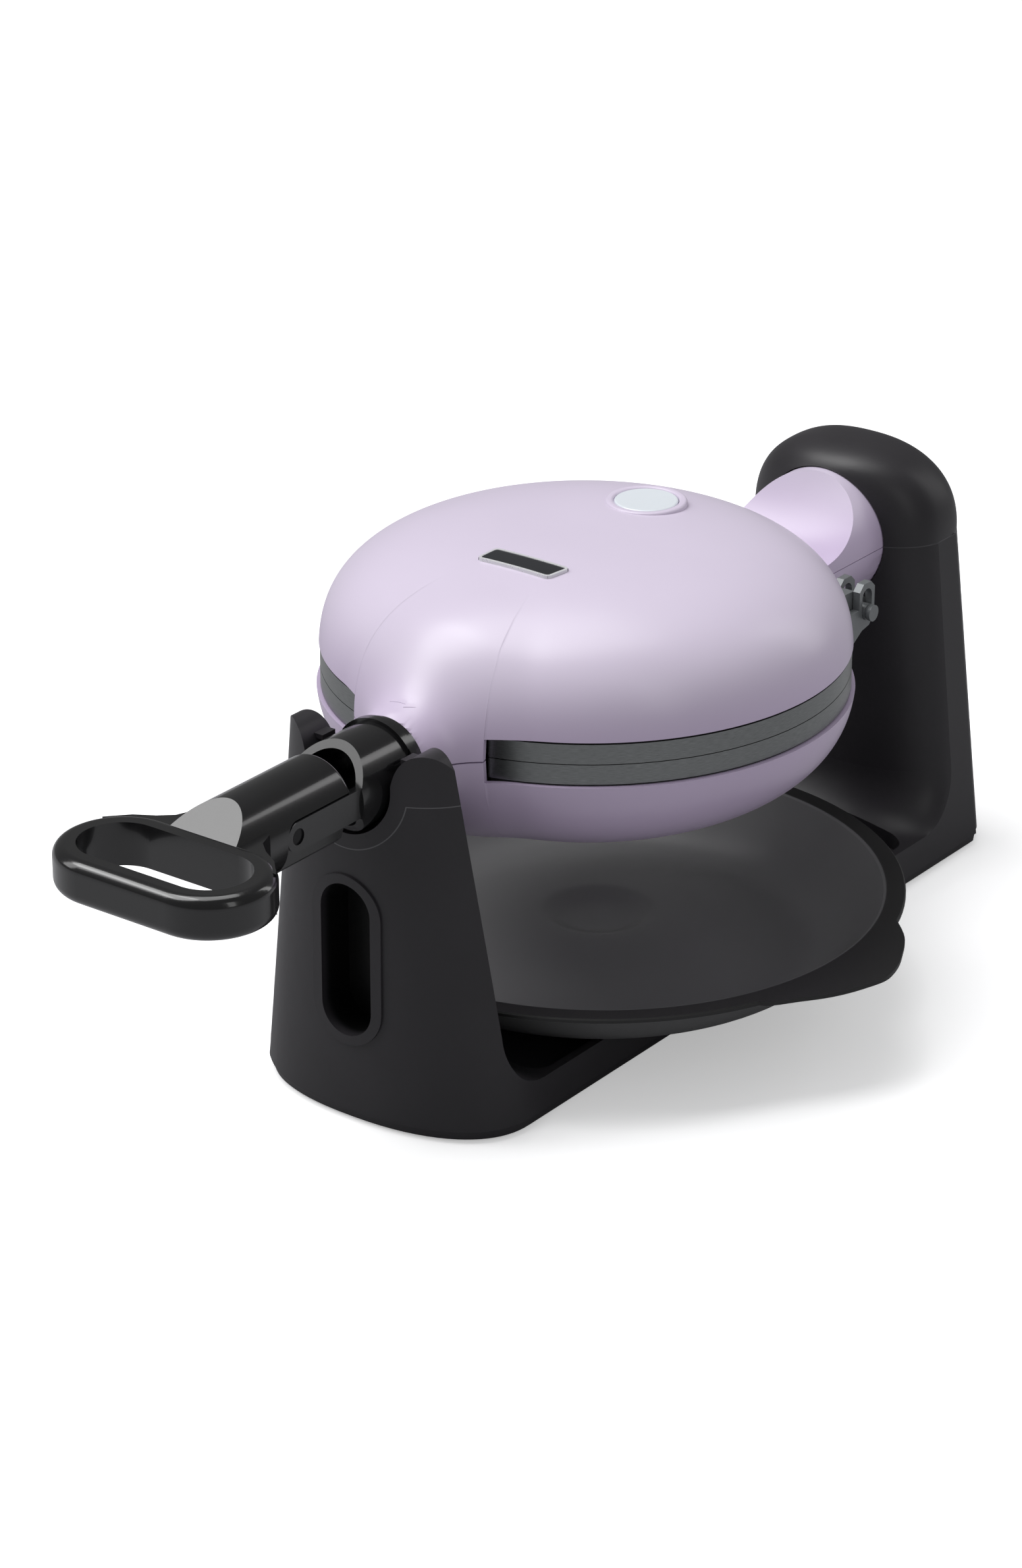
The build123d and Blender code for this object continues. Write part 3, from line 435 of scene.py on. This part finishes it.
def turned(name, profile, centre, count=96):
    """A closed ring or disc: the outline in radius and height turned about an upright line."""
    prof = np.array(profile)
    angle = np.linspace(0, 2 * math.pi, count, endpoint=False)
    ring = np.stack([prof[:, 0][None] * np.cos(angle)[:, None], prof[:, 0][None] * np.sin(angle)[:, None],
                     np.repeat(prof[:, 1][None], count, 0)], -1)
    points = ring.reshape(-1, 3) + np.array(centre)
    m = len(prof)
    faces = []
    for j in range(count):
        k = (j + 1) % count
        for i in range(m):
            a = (i + 1) % m
            faces.append((j * m + i, k * m + i, k * m + a, j * m + a))
    return mesh_object(name, points, faces, 50.0)


# Raised ring round the lamp, level, its foot sunk into the lid's slope.
LAMP_Y = 0.0375
LAMP_TOP = AXIS_Z + LID_H - 0.0012
RING_INNER = 0.0122
RING_OUTER = 0.0153


def rounded_ring(inner, outer, low, high, soft):
    """Outline of a ring with soft top edges."""
    bend = np.linspace(0, math.pi / 2, 7)
    right = [(outer - soft + soft * math.cos(a), high - soft + soft * math.sin(a)) for a in bend]
    left = [(inner + soft - soft * math.sin(a), high - soft + soft * math.cos(a)) for a in bend]
    return [(outer, low)] + right + left + [(inner, low)]


lamp_ring = turned("lamp_ring", rounded_ring(RING_INNER, RING_OUTER, -0.004, 0.0016, 0.0011),
                   (CENTRE_X, CENTRE_Y + LAMP_Y, LAMP_TOP))
lay(lamp_ring, lilac)
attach(lamp_ring, "lid")


def dome_height(x, y):
    """Height of the lid's skin over a point, both from the cooker's centre."""
    flat = np.hypot(x, y)
    return AXIS_Z + LID_H * (1 - (flat / LID_R) ** LID_POWERS[0]) ** (1 / LID_POWERS[1])


# The blank badge's corners from the cooker's centre, and the distance over which each is rounded.
BADGE_CORNERS = np.array([(-0.0160, -0.0442), (-0.0145, -0.0352), (0.0175, -0.0352), (0.0150, -0.0442)])
BADGE_ROUND = 0.0018
# Section of its rim: distance outward from the outline and height over the dome.
BADGE_RIM = ((-0.0006, -0.0006), (0.0006, -0.0006), (0.0005, 0.0011), (-0.0005, 0.0011))


def badge_frame():
    """Bright rim round the blank badge: a square bead swept along its rounded outline on the dome."""

    def towards(start, end):
        """The point BADGE_ROUND along the way from start to end."""
        return start + (end - start) / np.linalg.norm(end - start) * BADGE_ROUND

    middle = BADGE_CORNERS.mean(0)
    path = []
    for i, here in enumerate(BADGE_CORNERS):
        after = BADGE_CORNERS[(i + 1) % 4]
        back = towards(here, BADGE_CORNERS[i - 1])
        ahead = towards(here, after)
        for t in np.linspace(0, 1, 6):
            path.append((1 - t) ** 2 * back + 2 * t * (1 - t) * here + t * t * ahead)
        stop = towards(after, here)
        for t in np.linspace(0, 1, 14)[1:-1]:
            path.append(ahead * (1 - t) + stop * t)
    path = np.array(path)
    way = np.roll(path, -1, 0) - np.roll(path, 1, 0)
    side = np.stack([way[:, 1], -way[:, 0]], -1) / np.linalg.norm(way, axis=1)[:, None]
    if np.sum(side * (path - middle)) < 0:
        side = -side
    rows = []
    for out, lift in BADGE_RIM:
        spot = path + side * out
        rows.append(np.column_stack([spot + [CENTRE_X, CENTRE_Y], dome_height(spot[:, 0], spot[:, 1]) + lift]))
    return loop_strip("badge_frame", rows)


def loop_strip(name, rows, closed=True):
    """Skin over equal rows of points: each row is one edge of the bead, in order round its section."""
    n = len(rows[0])
    m = len(rows)
    faces = []
    for i in range(n if closed else n - 1):
        k = (i + 1) % n
        for r in range(m):
            q = (r + 1) % m
            faces.append((r * n + i, r * n + k, q * n + k, q * n + i))
    if not closed:
        faces.append(tuple(r * n for r in range(m)))
        faces.append(tuple(r * n + n - 1 for r in reversed(range(m))))
    obj = mesh_object(name, np.concatenate(rows), faces, 30.0)
    face_outward(obj)
    return obj


def face_outward(obj):
    """Turn all faces the same way, outward, by the sign of the enclosed volume."""
    bm = bmesh.new()
    bm.from_mesh(obj.data)
    bmesh.ops.recalc_face_normals(bm, faces=bm.faces)
    if bm.calc_volume(signed=True) < 0:
        bmesh.ops.reverse_faces(bm, faces=bm.faces)
    bm.to_mesh(obj.data)
    bm.free()


# The rotate arrow, from the cooker's centre: its tail's ends and sides, then its head's length and half width.
ARROW_TAIL_X = (-0.0055, 0.0016)
ARROW_TAIL_Y = (-0.1095, -0.1079)
ARROW_HEAD_X = 0.00161
ARROW_HEAD_LONG = 0.0039
ARROW_HEAD_Y = (-0.1110, -0.1064)
ARROW_HEAD_HALF = 0.0023
ARROW_UP = 0.0004
ARROW_DOWN = -0.0006


def rotate_arrow():
    """Raised arrow on the neck: stations across it, each as wide as the arrow there, laid on the flare."""
    stations = [(x, *ARROW_TAIL_Y) for x in np.linspace(*ARROW_TAIL_X, 12)]
    for t in np.linspace(0, 0.97, 8):
        stations.append((ARROW_HEAD_X + ARROW_HEAD_LONG * t, ARROW_HEAD_Y[0] + ARROW_HEAD_HALF * t,
                         ARROW_HEAD_Y[1] - ARROW_HEAD_HALF * t))
    rows = []
    for lift in (ARROW_UP, ARROW_DOWN):
        shares = np.linspace(0, 1, 4) if lift > 0 else np.linspace(1, 0, 4)
        for share in shares:
            row = []
            for x, low, high in stations:
                y = low + (high - low) * share
                r = np.interp(y, NECK_Y, NECK_R)
                row.append((x + CENTRE_X, y + CENTRE_Y, AXIS_Z + math.sqrt(r * r - x * x) + lift))
            rows.append(np.array(row))
    return loop_strip("rotate_arrow", rows, closed=False)


# Section of the black strip that paints the shadow in the gap between shell and band: radius and height from the
# flip axis's level.
SHADOW_STRIP = ((0.0958, 0.0072), (0.0972, 0.0072), (0.0972, 0.0089), (0.0958, 0.0089))
SHADOW_STRIP_END = 0.006


def shadow_strip(name, up):
    """Black strip painting the shadow in the gap between shell and band: a flat section turned round all but the
    neck's gap.
    """
    turn = np.linspace(NECK_TURN + BAND_GAP_RIGHT + SHADOW_STRIP_END,
                       NECK_TURN - BAND_GAP_LEFT - SHADOW_STRIP_END + 2 * math.pi, 260)
    sign = 1.0 if up else -1.0
    rows = []
    for r, z in SHADOW_STRIP:
        rows.append(np.column_stack([np.cos(turn) * r + CENTRE_X, np.sin(turn) * r + CENTRE_Y,
                                     np.full(turn.shape, AXIS_Z + sign * z)]))
    return loop_strip(name, rows, closed=False)


bright = moulded("bright_rim", (0.70, 0.70, 0.72), 0.28, 900.0, 0.000004, 0.06, Metallic=0.35)
# The upper and lower dark strips are painted shadow in the gap between shell and band, drawn with the black rubber
# finish.
for piece, skin, body, slot in ((badge_frame(), bright, "lid", "steel"), (rotate_arrow(), lilac, "lid", "lilac"),
                                (shadow_strip("upper_shadow_strip", True), rubber, "lid", "rubber"),
                                (shadow_strip("lower_shadow_strip", False), rubber, "rotor", "rubber")):
    lay(piece, skin)
    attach(piece, body)

finishes = {"charcoal": charcoal, "gloss_black": gloss, "lilac": lilac, "band_metal": band,
            "hinge_grey": hinge_grey, "nonstick": nonstick, "tray_grey": tray, "lens_white": lens,
            "badge_dark": badge_dark, "rubber": rubber, "steel": steel, "brass": brass}
slot_of = {s["node"]: s["material_slot"] for s in frame["record"]["subparts"]}
for node, obj in frame["nodes"].items():
    if obj.type == "MESH":
        lay(obj, finishes[slot_of[node]])
dark_pin = moulded("blackened_pin", (0.014, 0.014, 0.015), 0.3, 900.0, 0.00001, 0.2, Metallic=0.6)
lay(frame["nodes"]["handle_pin"], dark_pin)


# Floor, lights, camera.


FLOOR_HALF = 9.0
corners = [(x * FLOOR_HALF, y * FLOOR_HALF, 0.0) for x, y in ((-1, -1), (1, -1), (1, 1), (-1, 1))]
floor = mesh_object("floor", corners, [(0, 1, 2, 3)])
floor_finish = Finish("studio_floor", (0.86, 0.86, 0.865), 0.8, Emission_Strength=1.0)
seen_by_camera = floor_finish.node("ShaderNodeLightPath", "Is Camera Ray")
floor_finish.feed("Base Color", floor_finish.blend((0.36, 0.36, 0.37), (0.82, 0.82, 0.825), seen_by_camera))
floor_finish.feed("Emission Color", floor_finish.blend((0.0, 0.0, 0.0), (0.39, 0.39, 0.39), seen_by_camera))
soft = floor_finish.noise(3.0, 1.0)
floor_finish.feed("Roughness", soft * 0.05 + 0.72)
lay(floor, floor_finish)

world = bpy.data.worlds.new("studio")
bpy.context.scene.world = world
world.use_nodes = True
wt = world.node_tree
wt.nodes.clear()
out = wt.nodes.new("ShaderNodeOutputWorld")


def background(colour, strength):
    node = wt.nodes.new("ShaderNodeBackground")
    node.inputs["Color"].default_value = (*colour, 1)
    node.inputs["Strength"].default_value = strength
    return node


# White to the camera, dimmer as light, and dimmer still in reflections.
seen = background((1, 1, 1), 1.0)
lit = background((0.98, 0.985, 1.0), 0.42)
gloss_bg = background((1, 1, 1), 0.16)
ray = wt.nodes.new("ShaderNodeLightPath")
mix_gloss = wt.nodes.new("ShaderNodeMixShader")
mix_seen = wt.nodes.new("ShaderNodeMixShader")
wt.links.new(ray.outputs["Is Glossy Ray"], mix_gloss.inputs[0])
wt.links.new(lit.outputs[0], mix_gloss.inputs[1])
wt.links.new(gloss_bg.outputs[0], mix_gloss.inputs[2])
wt.links.new(ray.outputs["Is Camera Ray"], mix_seen.inputs[0])
wt.links.new(mix_gloss.outputs[0], mix_seen.inputs[1])
wt.links.new(seen.outputs[0], mix_seen.inputs[2])
wt.links.new(mix_seen.outputs[0], out.inputs[0])


def softbox(name, place, aim, width, height, power):
    """Rectangular light at place, turned to face aim."""
    lamp = bpy.data.lights.new(name, "AREA")
    lamp.shape = "RECTANGLE"
    lamp.size = width
    lamp.size_y = height
    lamp.energy = power
    obj = bpy.data.objects.new(name, lamp)
    obj.location = place
    obj.rotation_euler = (Vector(aim) - Vector(place)).to_track_quat("-Z", "Y").to_euler()
    bpy.context.scene.collection.objects.link(obj)


for box_light in (("top_box", (-0.25, 0.1, 1.5), (0, 0, 0.1), 0.9, 0.9, 7.0),
                  ("left_box", (-1.2, -0.9, 1.0), (0, 0, 0.1), 0.6, 1.2, 6.0),
                  ("right_box", (1.3, -0.5, 0.8), (0, 0, 0.1), 0.3, 1.1, 1.6),
                  ("back_strip", (0.7, 1.3, 0.8), (0, 0, 0.15), 0.3, 1.2, 2.5)):
    softbox(*box_light)
key = bpy.data.lights.new("key_sun", "SUN")
key.energy = 1.55
key.angle = math.radians(38)
key_obj = bpy.data.objects.new("key_sun", key)
key_obj.rotation_euler = Vector((0.5, 0.25, -1.0)).to_track_quat("-Z", "Y").to_euler()
bpy.context.scene.collection.objects.link(key_obj)

# Camera fitted to the photograph: angles in degrees, focal length and height in the photograph's pixels, and the
# camera's own place from the floor under the cooker's centre: sideways, up and back, in units of FIT_SCALE metres.
AZIMUTH = 36.88
ELEVATION = 24.24
FOCAL_PIXELS = 7000.0
PHOTO_HEIGHT = 2380.0
SENSOR = 36.0
FIT_SIDE, FIT_UP, FIT_BACK = -29.28, 85.56, 1827.24
FIT_SCALE = 0.0009423
az = math.radians(AZIMUTH)
el = math.radians(ELEVATION)
back = Vector((math.sin(az) * math.cos(el), -math.cos(az) * math.cos(el), math.sin(el)))
side = Vector((math.cos(az), math.sin(az), 0))
place = (side * FIT_SIDE + Vector((0, 0, FIT_UP)) + back * FIT_BACK) * FIT_SCALE
place += Vector((CENTRE_X, CENTRE_Y, 0))
cam_data = bpy.data.cameras.new("photo_camera")
cam_data.sensor_fit = "VERTICAL"
cam_data.sensor_height = SENSOR
cam_data.lens = FOCAL_PIXELS * SENSOR / PHOTO_HEIGHT
cam_data.clip_start = 0.05
cam_data.clip_end = 60.0
cam = bpy.data.objects.new("photo_camera", cam_data)
cam.matrix_world = Matrix.Translation(place) @ (-back).to_track_quat("-Z", "Y").to_matrix().to_4x4()
bpy.context.scene.collection.objects.link(cam)
bpy.context.scene.camera = cam
bpy.context.scene.view_settings.view_transform = "Standard"
